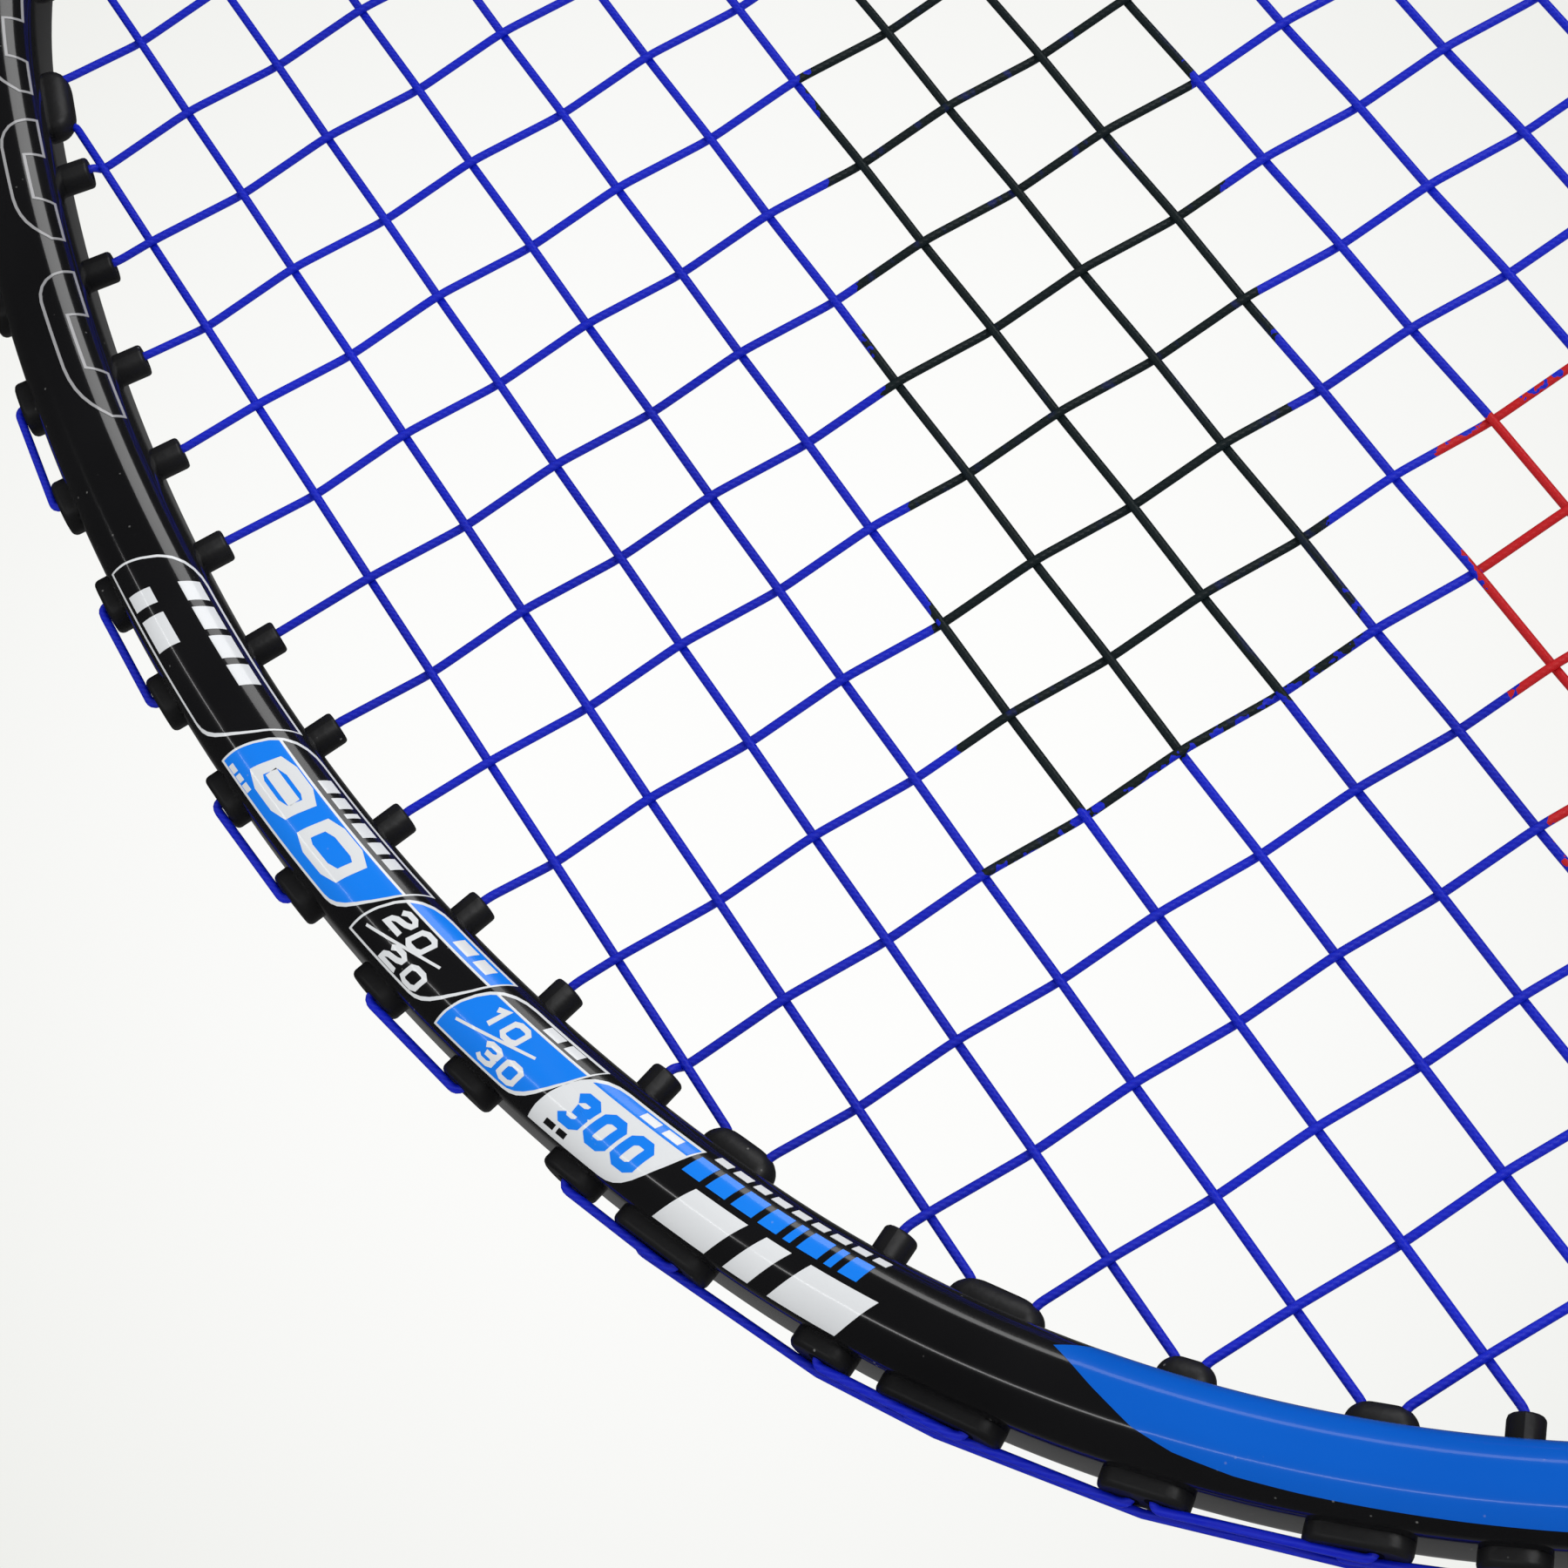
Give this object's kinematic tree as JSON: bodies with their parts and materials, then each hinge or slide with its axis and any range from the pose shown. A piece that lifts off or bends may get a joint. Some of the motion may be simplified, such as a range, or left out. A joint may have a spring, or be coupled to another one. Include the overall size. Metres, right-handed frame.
{
  "type": "badminton racket",
  "caption": "Badminton racket with a hollow hoop, woven string bed in grommets, slim shaft on a T-joint, cone cap and octagonal wrapped handle with a butt cap.",
  "frame": {"origin": "centre of the butt's flat end face", "axes": "+Z from the butt to the tip of the head, X across the head, Y through the string bed with the front face to -Y"},
  "size_m": [0.2104, 0.0286, 0.6768],
  "materials": {
    "frame_lacquer": "gloss lacquer over carbon fibre",
    "fairing_lacquer": "gloss lacquer",
    "joint_alloy": "as cast",
    "shaft_lacquer": "gloss lacquer over carbon fibre",
    "cone_plastic": "gloss moulded plastic",
    "handle_wood": "bare, sanded",
    "cap_plastic": "moulded, fine texture",
    "staple_steel": "bright wire",
    "badge_plastic": "gloss",
    "grip_pu": "perforated polyurethane band",
    "collar_tape": "vinyl tape",
    "string_nylon": "smooth multifilament",
    "grommet_nylon": "moulded nylon"
  },
  "bodies": {
    "root": {"head_frame": "frame_lacquer", "throat_fairing": "fairing_lacquer", "t_joint_core": "joint_alloy", "shaft_tube": "shaft_lacquer", "cone_cap": "cone_plastic", "handle_core": "handle_wood", "butt_cap": "cap_plastic", "butt_staples": "staple_steel", "butt_badge": "badge_plastic", "grip_wrap": "grip_pu", "grip_collar_tape": "collar_tape", "main_string": "string_nylon", "cross_string": "string_nylon", "main_knots": "string_nylon", "cross_knots": "string_nylon", "left_grommets": "grommet_nylon", "right_grommets": "grommet_nylon", "tip_grommets": "grommet_nylon", "throat_grommets": "grommet_nylon", "upper_left_shared_grommets": "grommet_nylon", "upper_right_shared_grommets": "grommet_nylon", "lower_left_shared_grommets": "grommet_nylon", "lower_right_shared_grommets": "grommet_nylon"}
  },
  "joints": []
}
